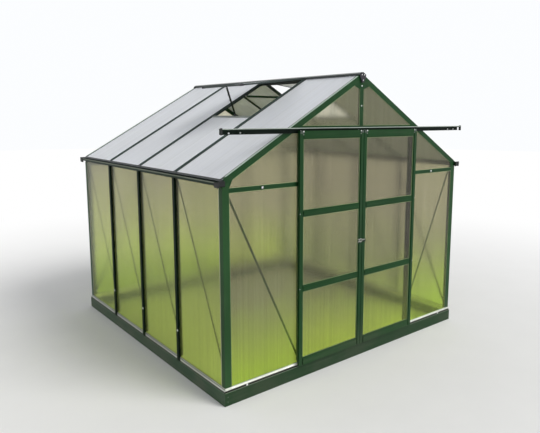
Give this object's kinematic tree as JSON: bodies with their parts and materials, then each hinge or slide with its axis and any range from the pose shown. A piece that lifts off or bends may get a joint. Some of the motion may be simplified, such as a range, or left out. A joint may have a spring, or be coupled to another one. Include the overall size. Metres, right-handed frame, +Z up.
{
  "type": "greenhouse",
  "caption": "Small garden greenhouse with an aluminium frame, polycarbonate panes, a steel base, sliding doors in the gable, gutters and raised roof vents",
  "frame": {"origin": "middle of the ground plan, at ground level", "axes": "X across the gable, Y from the door gable to the back, Z up"},
  "size_m": [2.6286, 2.6146, 2.2941],
  "materials": {
    "frame": "green powder coat on extruded aluminium",
    "roof_frame": "dark grey-green powder coat on extruded aluminium",
    "base": "green coated folded steel",
    "sill": "pale coated aluminium",
    "wall_pane": "clear twin-wall polycarbonate",
    "roof_pane": "pale twin-wall polycarbonate",
    "moulding": "dark moulded plastic",
    "zinc": "bright zinc-plated steel"
  },
  "bodies": {
    "frame": {"plinth_ends": "base", "plinth_sides": "base", "front_sill": "sill", "back_sill": "sill", "side_sills": "sill", "corner_posts": "frame", "left_wall_posts": "frame", "right_wall_posts": "frame", "left_gutter": "frame", "right_gutter": "frame", "gutter_ends": "moulding", "ridge_bar": "roof_frame", "ridge_caps": "moulding", "front_rafters": "frame", "back_rafters": "frame", "left_roof_bars": "roof_frame", "right_roof_bars": "roof_frame", "collar_tie": "frame", "door_jambs": "frame", "door_header": "frame", "front_centre_post": "frame", "back_posts": "frame", "gable_rails": "frame", "wall_braces": "frame", "gable_braces": "frame", "door_track": "frame", "left_wall_panes": "wall_pane", "right_wall_panes": "wall_pane", "front_panes": "wall_pane", "back_panes": "wall_pane", "left_roof_panes": "roof_pane", "right_roof_panes": "roof_pane", "left_vent_frame": "roof_frame", "right_vent_frame": "roof_frame", "vent_panes": "roof_pane", "vent_sills": "roof_frame", "vent_stays": "zinc"},
    "left_door": {"left_door_stiles": "frame", "left_door_rails": "frame", "left_door_panes": "wall_pane", "left_door_rollers": "zinc", "left_door_latch": "zinc"},
    "right_door": {"right_door_stiles": "frame", "right_door_rails": "frame", "right_door_panes": "wall_pane", "right_door_rollers": "zinc", "right_door_latch": "zinc"}
  },
  "joints": [
    {"name": "left_door_slide", "type": "slide", "parent": "frame", "child": "left_door", "axis": [-1, 0, 0], "range_m": [0, 0.495]},
    {"name": "right_door_slide", "type": "slide", "parent": "frame", "child": "right_door", "axis": [1, 0, 0], "range_m": [0, 0.495]}
  ]
}
